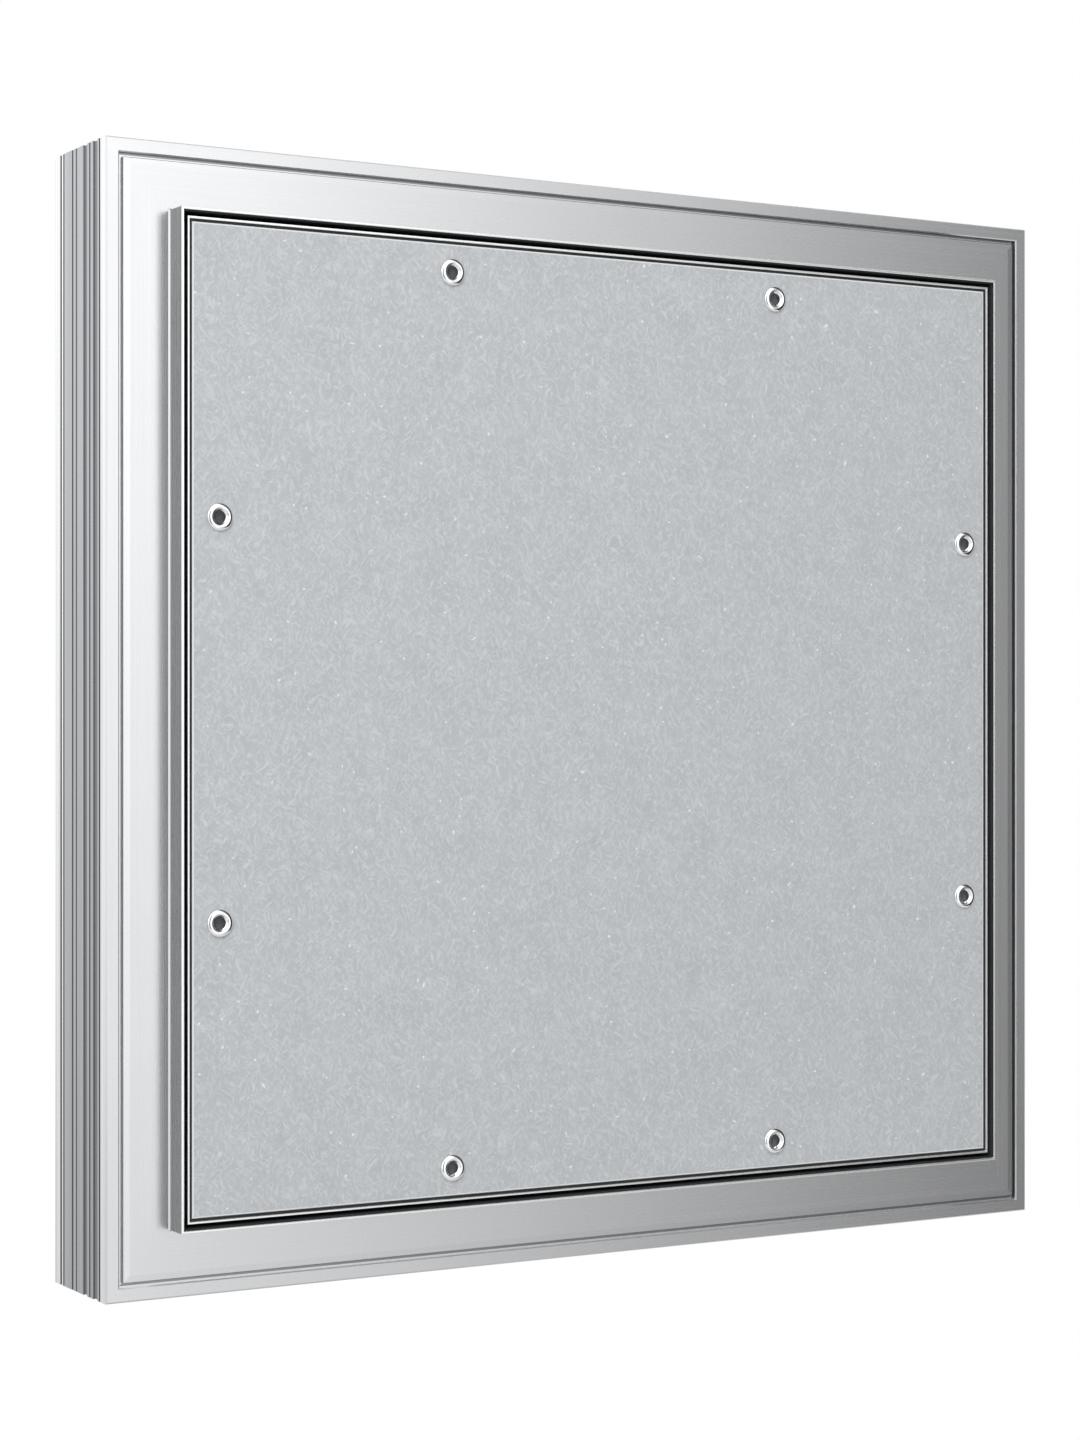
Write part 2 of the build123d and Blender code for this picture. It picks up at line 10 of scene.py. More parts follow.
import bmesh
import bpy
import numpy as np
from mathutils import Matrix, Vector


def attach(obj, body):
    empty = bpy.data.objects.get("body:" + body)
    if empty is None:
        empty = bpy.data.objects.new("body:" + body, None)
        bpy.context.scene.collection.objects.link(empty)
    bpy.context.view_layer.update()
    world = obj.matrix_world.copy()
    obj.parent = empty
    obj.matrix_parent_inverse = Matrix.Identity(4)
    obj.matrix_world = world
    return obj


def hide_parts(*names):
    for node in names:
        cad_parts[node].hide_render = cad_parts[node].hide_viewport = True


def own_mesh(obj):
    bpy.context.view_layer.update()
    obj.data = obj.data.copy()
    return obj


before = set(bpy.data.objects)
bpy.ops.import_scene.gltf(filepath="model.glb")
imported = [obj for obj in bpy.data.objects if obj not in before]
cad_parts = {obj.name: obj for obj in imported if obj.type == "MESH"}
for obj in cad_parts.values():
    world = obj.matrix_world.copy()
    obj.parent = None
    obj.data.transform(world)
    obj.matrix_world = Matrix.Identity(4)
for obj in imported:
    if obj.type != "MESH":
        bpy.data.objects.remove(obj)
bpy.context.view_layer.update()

# Frame members
# Four lengths of extruded aluminium, mitred at the corners and pressed onto keys. They are satin
# anodised: the front is smooth, and the outer side is keyed with rolled grooves for the plaster. Their
# front edges carry a painted highlight, and the keyed side and the channel's corners painted shade.
mm = 0.001
frame_half = 200.0
frame_depth = 48.4
aluminium_colour = "#dcddde"
aluminium_shade = "#d3d4d6"
# Painted shade on the keyed side: its bands, and darker still its grooves.
keyed_painted_shade = "#a3a5a8"
wide_groove_painted_shade = "#6b6e71"
groove_painted_shade = "#3d4043"
satin_roughness = 0.27
die_line_width = 0.6
keyed_line_width = 1.3
keyed_rear = 39.0
side_grooves = [
    (5.0, 6.1),
    (7.7, 11.7),
    (14.2, 15.2),
    (17.3, 20.9),
    (26.9, 27.7),
    (30.4, 31.5),
    (39.0, 40.0),
    (41.5, 42.8),
]
side_reach = 0.6
# Colour of the painted shade in the corners of the channel round the opening.
channel_painted_shade = "#8f9194"
# Colour of the painted highlight on the front edges of the frame and leaf.
painted_highlight_colour = "#f6f7f7"
rim_front = -10.5


def linear(hex_colour):
    """Linear red, green, blue and alpha of an sRGB hex colour."""
    parts = np.array([int(hex_colour[i : i + 2], 16) for i in (1, 3, 5)]) / 255
    low = parts / 12.92
    high = ((parts + 0.055) / 1.055) ** 2.4
    return (*np.where(parts <= 0.04045, low, high).tolist(), 1.0)


def add_node(tree, kind, settings, inputs):
    """Add a node to a tree, set its settings, and give each input a value or link a socket to it."""
    node = tree.nodes.new(kind)
    for name, value in settings.items():
        setattr(node, name, value)
    for name, value in inputs.items():
        if isinstance(value, bpy.types.NodeSocket):
            tree.links.new(value, node.inputs[name])
        else:
            node.inputs[name].default_value = value
    return node


def start_material(name, metallic, roughness):
    """A new material's tree and principled shader, and its object coordinates."""
    material = bpy.data.materials.new(name)
    material.use_nodes = True
    tree = material.node_tree
    shader = next(node for node in tree.nodes if node.type == "BSDF_PRINCIPLED")
    shader.inputs["Metallic"].default_value = metallic
    shader.inputs["Roughness"].default_value = roughness
    place = add_node(tree, "ShaderNodeTexCoord", {}, {}).outputs["Object"]
    return material, tree, shader, place


def give(node_names, material):
    """Put a material on the slots of pieces whose shape stays."""
    for node_name in node_names:
        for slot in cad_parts[node_name].material_slots:
            slot.material = material


def satin_aluminium(name, along, front_depth):
    """Satin anodised aluminium with faint die lines along its length, and a painted highlight on its
    front edges.

    Returns the material, its tree, shader, coordinates and base colour. The colour is a painted
    highlight within a quarter of a millimetre of the front, and elsewhere two near greys in
    clouds 70 mm wide.
    """
    material, tree, shader, place = start_material(name, 1.0, satin_roughness)
    spot = add_node(tree, "ShaderNodeSeparateXYZ", {}, {"Vector": place})
    cloud_inputs = {"Vector": place, "Scale": 1 / (70 * mm), "Detail": 3.0}
    cloud = add_node(tree, "ShaderNodeTexNoise", {}, cloud_inputs)
    satin_tones = {"A": linear(aluminium_shade), "B": linear(aluminium_colour)}
    satin_tones["Factor"] = cloud.outputs["Fac"]
    satin = add_node(tree, "ShaderNodeMix", {"data_type": "RGBA"}, satin_tones)
    # Painted highlight: the front quarter millimetre is painted near white.
    painted_highlight_band = add_node(
        tree,
        "ShaderNodeMath",
        {"operation": "LESS_THAN"},
        {0: spot.outputs["Y"], 1: (front_depth + 0.25 - frame_depth) * mm},
    )
    highlight_tones = {"A": satin.outputs["Result"], "B": linear(painted_highlight_colour)}
    highlight_tones["Factor"] = painted_highlight_band.outputs[0]
    tone = add_node(tree, "ShaderNodeMix", {"data_type": "RGBA"}, highlight_tones)

    stretch = [1 / (die_line_width * mm)] * 3
    stretch["XYZ".index(along)] = 1 / (200 * die_line_width * mm)
    mapped = add_node(tree, "ShaderNodeMapping", {}, {"Vector": place, "Scale": stretch})
    noise = {"Vector": mapped.outputs[0], "Scale": 1.0, "Detail": 2.0}
    fine = add_node(tree, "ShaderNodeTexNoise", {}, noise).outputs["Fac"]
    spread = {"Value": fine, "To Min": satin_roughness - 0.04, "To Max": satin_roughness + 0.04}
    rough = add_node(tree, "ShaderNodeMapRange", {}, spread)
    tree.links.new(rough.outputs[0], shader.inputs["Roughness"])
    scratches = {"Height": fine, "Distance": 0.004 * mm, "Strength": 0.5}
    bump = add_node(tree, "ShaderNodeBump", {}, scratches)
    tree.links.new(bump.outputs[0], shader.inputs["Normal"])
    tree.links.new(tone.outputs["Result"], shader.inputs["Base Color"])
    return material, tree, shader, spot, tone


def banded_aluminium(name, along, across, painted_shade_lines):
    """The frame's finish: satin aluminium whose outer side is banded by depth.

    The side, where the coordinate across the member comes within 0.6 mm of half the frame's size,
    is smooth by the bead and at the rear and keyed between, with painted shade on the keyed bands and
    darker painted shade in the grooves. A line of painted shade lies in the channel's corner too, at a
    place across and a depth.
    """
    material, tree, shader, spot, tone = satin_aluminium(name, along, rim_front)
    # Each line paints shade into the channel's corner, at a place across and a span of depth.
    for middle, reach, front, rear in painted_shade_lines:
        at_wall = add_node(
            tree,
            "ShaderNodeMath",
            {"operation": "COMPARE"},
            {0: spot.outputs[across], 1: middle * mm, 2: reach * mm},
        )
        middle_y = (front + rear) / 2 - frame_depth
        at_depth = add_node(
            tree,
            "ShaderNodeMath",
            {"operation": "COMPARE"},
            {0: spot.outputs["Y"], 1: middle_y * mm, 2: (rear - front) / 2 * mm},
        )
        in_painted_shade = add_node(
            tree,
            "ShaderNodeMath",
            {"operation": "MULTIPLY"},
            {0: at_wall.outputs[0], 1: at_depth.outputs[0]},
        )
        painted_shade_tones = {"Factor": in_painted_shade.outputs[0], "A": tone.outputs["Result"]}
        painted_shade_tones["B"] = linear(channel_painted_shade)
        tone = add_node(tree, "ShaderNodeMix", {"data_type": "RGBA"}, painted_shade_tones)

    depth_share = add_node(
        tree,
        "ShaderNodeMapRange",
        {},
        {"Value": spot.outputs["Y"], "From Min": -frame_depth * mm, "From Max": 0.0},
    )
    bands = add_node(tree, "ShaderNodeValToRGB", {}, {"Fac": depth_share.outputs[0]})
    bands.color_ramp.interpolation = "CONSTANT"
    # The side's bands by depth: painted shade on the keyed faces, darker in the grooves.
    steps = {0: aluminium_colour}
    for start, end in side_grooves:
        steps[start] = wide_groove_painted_shade if end - start > 2 else groove_painted_shade
        steps[end] = keyed_painted_shade if end < keyed_rear else aluminium_colour
    stops = bands.color_ramp.elements
    while len(stops) < len(steps):
        stops.new(1.0)
    for stop, (depth, colour) in zip(stops, sorted(steps.items())):
        stop.position = depth / frame_depth
        stop.color = linear(colour)

    stretch = [1 / (keyed_line_width * mm)] * 3
    stretch["XYZ".index(along)] = 1 / (200 * keyed_line_width * mm)
    place = spot.inputs[0].links[0].from_socket
    mapped = add_node(tree, "ShaderNodeMapping", {}, {"Vector": place, "Scale": stretch})
    noise = {"Vector": mapped.outputs[0], "Scale": 1.0, "Detail": 2.0}
    rolled = add_node(tree, "ShaderNodeTexNoise", {}, noise).outputs["Fac"]
    worn = {"Value": rolled, "From Min": 0.3, "From Max": 0.7, "To Min": 0.75, "To Max": 1.0}
    uneven = add_node(tree, "ShaderNodeMapRange", {}, worn)
    side = add_node(
        tree,
        "ShaderNodeVectorMath",
        {"operation": "SCALE"},
        {0: bands.outputs["Color"], "Scale": uneven.outputs[0]},
    )
    size = add_node(tree, "ShaderNodeMath", {"operation": "ABSOLUTE"}, {0: spot.outputs[across]})
    on_side = add_node(
        tree,
        "ShaderNodeMath",
        {"operation": "GREATER_THAN"},
        {0: size.outputs[0], 1: (frame_half - side_reach) * mm},
    )
    all_tones = {"Factor": on_side.outputs[0], "A": tone.outputs["Result"], "B": side.outputs[0]}
    finished = add_node(tree, "ShaderNodeMix", {"data_type": "RGBA"}, all_tones)
    tree.links.new(finished.outputs["Result"], shader.inputs["Base Color"])
    return material


# Lines of painted shade in the channel's corners, as middle, reach, front and rear.
side_painted_shade_lines = [(194.2, 1.0, 1.0, 2.0)]
top_and_bottom_painted_shade_lines = [(194.6, 0.45, 0.8, 2.0), (-193.9, 0.6, 1.0, 2.0)]
anodised_upright = banded_aluminium("anodised_frame_upright", "Z", "X", side_painted_shade_lines)
anodised_crosswise = banded_aluminium("anodised_frame_crosswise", "X", "Z", top_and_bottom_painted_shade_lines)
give(["frame_left", "frame_right"], anodised_upright)
give(["frame_top", "frame_bottom"], anodised_crosswise)

# Corner keys
# Cast aluminium angles, a push fit in the rear chambers of the frame members. They are left as
# cast and tumbled, so they are greyer and rougher than the anodised lengths.
cast_colour = "#a9abad"
cast_shade = "#8d9092"
cast_grain = 0.8


def cast_aluminium():
    """Die-cast aluminium as it leaves the tumbler: grey, dull and finely pebbled."""
    material, tree, shader, place = start_material("cast_aluminium_tumbled", 1.0, 0.5)
    pebble_inputs = {"Vector": place, "Scale": 1 / (cast_grain * mm), "Detail": 3.0}
    pebble = add_node(tree, "ShaderNodeTexNoise", {}, pebble_inputs)
    flow_inputs = {"Vector": place, "Scale": 1 / (15 * cast_grain * mm), "Detail": 2.0}
    flow = add_node(tree, "ShaderNodeTexNoise", {}, flow_inputs)
    tones = {"Factor": flow.outputs["Fac"], "A": linear(cast_shade), "B": linear(cast_colour)}
    colour = add_node(tree, "ShaderNodeMix", {"data_type": "RGBA"}, tones)
    tree.links.new(colour.outputs["Result"], shader.inputs["Base Color"])
    relief = {"Height": pebble.outputs["Fac"], "Distance": 0.06 * mm, "Strength": 0.6}
    bump = add_node(tree, "ShaderNodeBump", {}, relief)
    tree.links.new(bump.outputs[0], shader.inputs["Normal"])
    return material


give(["frame_corner_keys"], cast_aluminium())

# Gasket
# One length of black rubber, pushed onto the inside of the rim and cut square at the corners. Its
# nose is round, and its foot has four soft ridges that the leaf closes on.
rubber_colour = "#27282a"
rubber_bloom_colour = "#3a3c3e"
opening_inset = 24.55
gasket_skin = 0.45
gasket_front = -9.8
gasket_rear = 7.2
foot_front = 5.3
foot_end = 28.6
foot_ridges = 4
foot_ridge_height = 0.5


def grid_faces(rows, columns, close_columns):
    """Quads between neighbours on a grid of points whose rows, and perhaps columns, come round."""
    row, column = np.meshgrid(
        np.arange(rows), np.arange(columns if close_columns else columns - 1), indexing="ij"
    )
    next_row = (row + 1) % rows
    next_column = (column + 1) % columns
    corners = [(row, column), (next_row, column), (next_row, next_column), (row, next_column)]
    return np.stack([a * columns + b for a, b in corners], axis=-1).reshape(-1, 4)


def make_piece(name, grids, close_columns, material, body, slot, *replaced):
    """One piece from grids of points in metres: doubles merged, faces outwards, smooth but for edges."""
    points = np.concatenate([grid.reshape(-1, 3) for grid in grids])
    starts = np.cumsum([0] + [grid.shape[0] * grid.shape[1] for grid in grids[:-1]])
    faces = np.concatenate(
        [
            grid_faces(grid.shape[0], grid.shape[1], close_columns) + start
            for grid, start in zip(grids, starts)
        ]
    )
    mesh = bpy.data.meshes.new(name)
    mesh.from_pydata(points, [], faces)
    cleaned = bmesh.new()
    cleaned.from_mesh(mesh)
    bmesh.ops.remove_doubles(cleaned, verts=cleaned.verts, dist=0.0005 * mm)
    bmesh.ops.recalc_face_normals(cleaned, faces=cleaned.faces)
    cleaned.to_mesh(mesh)
    cleaned.free()
    mesh.shade_smooth()
    mesh.set_sharp_from_angle(angle=radians(32))
    mesh.materials.append(material)
    piece = bpy.data.objects.new(name, mesh)
    bpy.context.scene.collection.objects.link(piece)
    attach(piece, body)
    if replaced:
        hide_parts(*replaced)
    return piece


def round_the_opening(profile):
    """Carry a closed profile of insets and depths round the square, with mitred corners."""
    inset, depth = np.asarray(profile).T
    across = frame_half - inset
    y = depth - frame_depth
    corners = [(-1, -1), (1, -1), (1, 1), (-1, 1)]
    return np.stack([np.stack([a * across, y, b * across], -1) for a, b in corners]) * mm


def arc(centre, radius, start, end, count):
    """Points on an arc about a centre, from one angle in degrees to another."""
    angle = np.radians(np.linspace(start, end, count))
    return np.stack([centre[0] + radius * np.cos(angle), centre[1] + radius * np.sin(angle)], -1)


def black_rubber():
    """Carbon-black rubber: dull, a little chalky, with a fine grain."""
    material, tree, shader, place = start_material("black_epdm_rubber", 0.0, 0.6)
    shader.inputs["Specular IOR Level"].default_value = 0.2
    grain_inputs = {"Vector": place, "Scale": 1 / (0.4 * mm), "Detail": 2.0}
    grain = add_node(tree, "ShaderNodeTexNoise", {}, grain_inputs)
    bloom_inputs = {"Vector": place, "Scale": 1 / (12 * mm), "Detail": 3.0}
    bloom = add_node(tree, "ShaderNodeTexNoise", {}, bloom_inputs)
    tones = {"Factor": bloom.outputs["Fac"], "A": linear(rubber_colour), "B": linear(rubber_bloom_colour)}
    colour = add_node(tree, "ShaderNodeMix", {"data_type": "RGBA"}, tones)
    tree.links.new(colour.outputs["Result"], shader.inputs["Base Color"])
    relief = {"Height": grain.outputs["Fac"], "Distance": 0.03 * mm, "Strength": 0.5}
    bump = add_node(tree, "ShaderNodeBump", {}, relief)
    tree.links.new(bump.outputs[0], shader.inputs["Normal"])
    return material


rubber = black_rubber()
skin_end = opening_inset + gasket_skin
nose_radius = gasket_skin / 2
ridge_step = np.linspace(0, 1, 12 * foot_ridges + 1)
ridge_inset = skin_end + (foot_end - skin_end) * ridge_step
ridge_depth = foot_front + foot_ridge_height * np.sin(pi * foot_ridges * ridge_step) ** 2
gasket_profile = np.concatenate(
    [
        arc((opening_inset + nose_radius, gasket_front + nose_radius), nose_radius, 180, 360, 9),
        np.stack([ridge_inset, ridge_depth], -1),
        [(foot_end, gasket_rear), (opening_inset, gasket_rear)],
    ]
)
make_piece(
    "rim_gasket",
    [round_the_opening(gasket_profile)],
    True,
    rubber,
    "frame",
    "black_rubber",
    "frame_gasket",
)

# Leaf members
# Four lengths of the same anodised aluminium as the frame, cut at 45 degrees. The lip's front is a
# painted highlight, a thin bright line round the board, and the ledge carries the board from behind.
lip_front = -8.9
for sides, along in ((("left", "right"), "Z"), (("top", "bottom"), "X")):
    lip_finish = satin_aluminium(f"anodised_leaf_along_{along}", along, lip_front)[0]
    give([f"leaf_{side}" for side in sides], lip_finish)

# Corner plates and their rivets
# Flat angles stamped from zinc-plated steel, behind the ledge, with two low domed rivets in each
# arm that draw the leaf's mitres together.


def zinc_plated_steel():
    """Bright zinc plate over rolled steel: cool grey, satin, with a faint cloudy bloom."""
    material, tree, shader, place = start_material("zinc_plated_steel", 1.0, 0.36)
    bloom_inputs = {"Vector": place, "Scale": 1 / (5 * mm), "Detail": 4.0}
    bloom = add_node(tree, "ShaderNodeTexNoise", {}, bloom_inputs)
    tones = {"Factor": bloom.outputs["Fac"], "A": linear("#b3b6b9"), "B": linear("#d3d6d8")}
    colour = add_node(tree, "ShaderNodeMix", {"data_type": "RGBA"}, tones)
    tree.links.new(colour.outputs["Result"], shader.inputs["Base Color"])
    spread = {"Value": bloom.outputs["Fac"], "To Min": 0.28, "To Max": 0.46}
    rough = add_node(tree, "ShaderNodeMapRange", {}, spread)
    tree.links.new(rough.outputs[0], shader.inputs["Roughness"])
    return material


def tumbled_metal(name, colour, roughness):
    """Bare metal tumbled bright: nearly even, with a slight change of gloss over each piece."""
    material, tree, shader, place = start_material(name, 1.0, roughness)
    shader.inputs["Base Color"].default_value = linear(colour)
    wear_inputs = {"Vector": place, "Scale": 1 / (1.2 * mm), "Detail": 3.0}
    wear = add_node(tree, "ShaderNodeTexNoise", {}, wear_inputs)
    spread = {"Value": wear.outputs["Fac"], "To Min": roughness * 0.6, "To Max": roughness * 1.5}
    rough = add_node(tree, "ShaderNodeMapRange", {}, spread)
    tree.links.new(rough.outputs[0], shader.inputs["Roughness"])
    return material


def around(radius, height, angle, origin, axis):
    """Points in metres from radii, heights and angles about an axis of the room through a point.

    A point lies at origin + height * axis + radius * (cos angle * u + sin angle * v), where u and v
    are the other two axes.
    """
    along = np.array(axis, float)
    u = np.roll(np.abs(along), 1)
    v = np.cross(along, u)
    spoke = np.cos(angle)[..., None] * u + np.sin(angle)[..., None] * v
    return (np.array(origin) + spoke * radius[..., None] + height[..., None] * along) * mm


def turned(profile, origin, axis, count=40):
    """Turn a profile of radii and heights about an axis of the room through a point."""
    radius, height = np.asarray(profile, float).T
    angle = np.linspace(0, 2 * pi, count, endpoint=False)
    angle, radius = np.meshgrid(angle, radius, indexing="ij")
    return around(radius, np.broadcast_to(height, radius.shape), angle, origin, axis)


zinc = zinc_plated_steel()
steel = tumbled_metal("stainless_steel_tumbled", "#d4d5d6", 0.22)
give(["leaf_corner_plates"], zinc)
leaf_rear = 2.65
plate_thickness = 1.5
plate_inset = 30.0
plate_width = 14.0
corner_rivet_spots = [19.0, 31.0]
corner_rivet_radius = 3.0
corner_rivet_height = 0.9
plate_back = leaf_rear + plate_thickness - frame_depth
plate_line = frame_half - plate_inset - plate_width / 2
corner_dome = np.concatenate(
    [
        [(0, 0), (corner_rivet_radius, 0)],
        arc((0, 0), 1, 8, 90, 10) * (corner_rivet_radius, corner_rivet_height),
    ]
)
corner_rivets = [
    turned(corner_dome, (side_x * x, plate_back, side_z * z), (0, 1, 0), 24)
    for side_x in (-1, 1)
    for side_z in (-1, 1)
    for spot in corner_rivet_spots
    for x, z in [
        (frame_half - plate_inset - spot, plate_line),
        (plate_line, frame_half - plate_inset - spot),
    ]
]
make_piece(
    "corner_rivet_heads",
    corner_rivets,
    False,
    steel,
    "leaf",
    "stainless_steel",
    "leaf_corner_rivets",
)


# Leaf board
# A 10 mm board of gypsum and paper fibre, sanded and sealed, ready for tile adhesive. Its face is
# softly mottled, with matted fibres that catch the light, and its eased edges carry a painted highlight.
board_colour = "#c3c7ca"
board_fibre_colour = "#d6d9db"
board_shade = "#b3b7bb"
# Colour of the pale flecks, and of the painted highlight along the board's edges.
board_fleck_and_highlight_colour = "#e9ebeb"
board_inset = 28.3
# Width of the painted highlight along the board's edges.
edge_highlight_width = 0.55
fibre_length = 4.0
fibre_width = 0.9
fleck_size = 1.2


def fibre_board():
    """Pale grey fibre board: soft clouds, bent matted fibres, a few pale flecks and a painted highlight
    on the edges.
    """
    material, tree, shader, place = start_material("fibre_reinforced_gypsum_board", 0.0, 0.85)
    warp_inputs = {"Vector": place, "Scale": 1 / (9 * mm), "Detail": 1.0}
    warp = add_node(tree, "ShaderNodeTexNoise", {}, warp_inputs)
    bent = add_node(
        tree,
        "ShaderNodeVectorMath",
        {"operation": "MULTIPLY_ADD"},
        {0: warp.outputs["Color"], 1: (7 * mm,) * 3, 2: place},
    )
    mats = []
    for turn in (35, -50, 80):
        mapped = add_node(
            tree,
            "ShaderNodeMapping",
            {"vector_type": "TEXTURE"},
            {
                "Vector": bent.outputs[0],
                "Rotation": (0, radians(turn), 0),
                "Location": (turn * mm, 0, 0),
                "Scale": (fibre_length * mm, fibre_width * mm, fibre_width * mm),
            },
        )
        fibre_inputs = {"Vector": mapped.outputs[0], "Scale": 1.0, "Detail": 2.0}
        mats.append(add_node(tree, "ShaderNodeTexNoise", {}, fibre_inputs).outputs["Fac"])
    longest = add_node(tree, "ShaderNodeMath", {"operation": "MAXIMUM"}, {0: mats[0], 1: mats[1]})
    mat = add_node(
        tree, "ShaderNodeMath", {"operation": "MAXIMUM"}, {0: longest.outputs[0], 1: mats[2]}
    )
    shade_inputs = {"Vector": place, "Scale": 1 / (14 * mm), "Detail": 3.0}
    shade = add_node(tree, "ShaderNodeTexNoise", {}, shade_inputs)
    cloudy = add_node(
        tree,
        "ShaderNodeMix",
        {"data_type": "RGBA"},
        {"Factor": shade.outputs["Fac"], "A": linear(board_shade), "B": linear(board_colour)},
    )
    raised = add_node(
        tree,
        "ShaderNodeMapRange",
        {},
        {"Value": mat.outputs[0], "From Min": 0.52, "From Max": 0.8},
    )
    matted = add_node(
        tree,
        "ShaderNodeMix",
        {"data_type": "RGBA"},
        {
            "Factor": raised.outputs[0],
            "A": cloudy.outputs["Result"],
            "B": linear(board_fibre_colour),
        },
    )
    fleck_inputs = {"Vector": bent.outputs[0], "Scale": 1 / (fleck_size * 5 * mm)}
    flecks = add_node(tree, "ShaderNodeTexVoronoi", {}, fleck_inputs)
    fleck_spread = {"Value": flecks.outputs["Distance"], "From Min": 0.1, "From Max": 0.05}
    fleck = add_node(tree, "ShaderNodeMapRange", {}, fleck_spread)
    flecked = add_node(
        tree,
        "ShaderNodeMix",
        {"data_type": "RGBA"},
        {
            "Factor": fleck.outputs[0],
            "A": matted.outputs["Result"],
            "B": linear(board_fleck_and_highlight_colour),
        },
    )
    spot = add_node(tree, "ShaderNodeSeparateXYZ", {}, {"Vector": place})
    sizes = [
        add_node(tree, "ShaderNodeMath", {"operation": "ABSOLUTE"}, {0: spot.outputs[axis]})
        for axis in "XZ"
    ]
    reach = add_node(
        tree,
        "ShaderNodeMath",
        {"operation": "MAXIMUM"},
        {0: sizes[0].outputs[0], 1: sizes[1].outputs[0]},
    )
    # Painted highlight: within 0.55 mm of the board's outline the colour goes near white.
    at_painted_edge_highlight = add_node(
        tree,
        "ShaderNodeMath",
        {"operation": "GREATER_THAN"},
        {0: reach.outputs[0], 1: (frame_half - board_inset - edge_highlight_width) * mm},
    )
    edge_highlighted = add_node(
        tree,
        "ShaderNodeMix",
        {"data_type": "RGBA"},
        {
            "Factor": at_painted_edge_highlight.outputs[0],
            "A": flecked.outputs["Result"],
            "B": linear(board_fleck_and_highlight_colour),
        },
    )
    tree.links.new(edge_highlighted.outputs["Result"], shader.inputs["Base Color"])
    relief = {"Height": mat.outputs[0], "Distance": 0.25 * mm, "Strength": 0.6}
    bump = add_node(tree, "ShaderNodeBump", {}, relief)
    tree.links.new(bump.outputs[0], shader.inputs["Normal"])
    return material


give(["leaf_board"], fibre_board())

# Bead round the board
# A black sealing bead, gunned into the slot between the lip and the board and drawn off slightly
# hollow with a wet finger.
bead_start = 27.3
bead_front = -8.3
bead_hollow = 0.2
bead_rear = 1.35
bead_step = np.linspace(0, 1, 9)
bead_profile = np.concatenate(
    [
        np.stack(
            [
                bead_start + (board_inset - bead_start) * bead_step,
                bead_front + bead_hollow * np.sin(pi * bead_step),
            ],
            -1,
        ),
        [(board_inset, bead_rear), (bead_start, bead_rear)],
    ]
)
make_piece(
    "board_sealing_bead",
    [round_the_opening(bead_profile)],
    True,
    rubber,
    "leaf",
    "black_rubber",
    "board_bead",
)

# Board rivets
# Blind rivets of tumbled aluminium with a low domed head. Pulling the mandrel swelled the tail
# behind the ledge, and its stem snapped off inside the open bore.
rivet_inset = 38.4
rivet_offset = 70.25
rivet_radius = 4.95
rivet_edge = 0.3
rivet_height = 1.5
rivet_crest_radius = 3.5
rivet_mouth_radius = 2.75
rivet_mouth_fall = 0.35
rivet_mouth_end = 0.9
rivet_bore_radius = 2.2
rivet_shank_radius = 3.0
rivet_swell = 0.9
rivet_swell_length = 2.6
board_front = -8.65
grip = leaf_rear - board_front
crest_width = rivet_radius - rivet_crest_radius
dome = arc((0, 0), 1, 0, 90, 12) * (crest_width, rivet_height - rivet_edge) + (
    rivet_crest_radius,
    rivet_edge,
)
mouth_width = rivet_crest_radius - rivet_mouth_radius
mouth = arc((0, 0), 1, 90, 165, 6) * (mouth_width, rivet_mouth_fall) + (
    rivet_crest_radius,
    rivet_height - rivet_mouth_fall,
)
swell_step = np.linspace(0, 1, 12)
swelling = np.stack(
    [
        rivet_shank_radius + rivet_swell * np.sin(pi * swell_step) ** 0.7,
        -grip - rivet_swell_length * swell_step,
    ],
    -1,
)
rivet_profile = np.concatenate(
    [
        dome,
        mouth,
        [
            (rivet_bore_radius, rivet_height - rivet_mouth_end),
            (rivet_bore_radius, -grip - rivet_swell_length),
        ],
        swelling[::-1],
        [(rivet_shank_radius, 0), (rivet_radius, 0)],
    ]
)
rivet_row = frame_half - rivet_inset
rivet_places = [(dx, dz) for dx in (-rivet_offset, rivet_offset) for dz in (-rivet_row, rivet_row)]
rivet_places += [(x, z) for z, x in rivet_places]
aluminium_rivet = tumbled_metal("aluminium_tumbled_bright", "#f0f1f2", 0.14)
make_piece(
    "blind_rivets",
    [
        turned(rivet_profile, (x, board_front - frame_depth, z), (0, -1, 0), 56)
        for x, z in rivet_places
    ],
    True,
    aluminium_rivet,
    "leaf",
    "stainless_steel",
    "board_rivets",
)

# Mandrel stubs
# The steel mandrels' ends, dark from their phosphate coat, deep in the rivets. Each is torn off at
# its neck, so its end is dished with a raised lip to one side.
mandrel_sink = 1.0
tear_dish = 0.35
tear_lip = 0.18


def torn_stub(origin):
    """A stub along the bore, whose end's height is -sink - dish * (1 - q^2) + lip * q * cos(angle),
    where q is the radius over the bore's."""
    steps = np.concatenate([np.linspace(0, 1, 9), [1.0, 0.0]])
    angle = np.linspace(0, 2 * pi, 32, endpoint=False)
    angle, q = np.meshgrid(angle, steps, indexing="ij")
    height = -mandrel_sink - tear_dish * (1 - q**2) + tear_lip * q * np.cos(angle)
    height[:, -2:] = -grip - rivet_swell_length
    return around(q * rivet_bore_radius, height, angle, origin, (0, -1, 0))


make_piece(
    "torn_mandrel_stubs",
    [torn_stub((x, board_front - frame_depth, z)) for x, z in rivet_places],
    False,
    tumbled_metal("phosphated_steel", "#5a5c5f", 0.5),
    "leaf",
    "dark_steel",
    "rivet_mandrels",
)

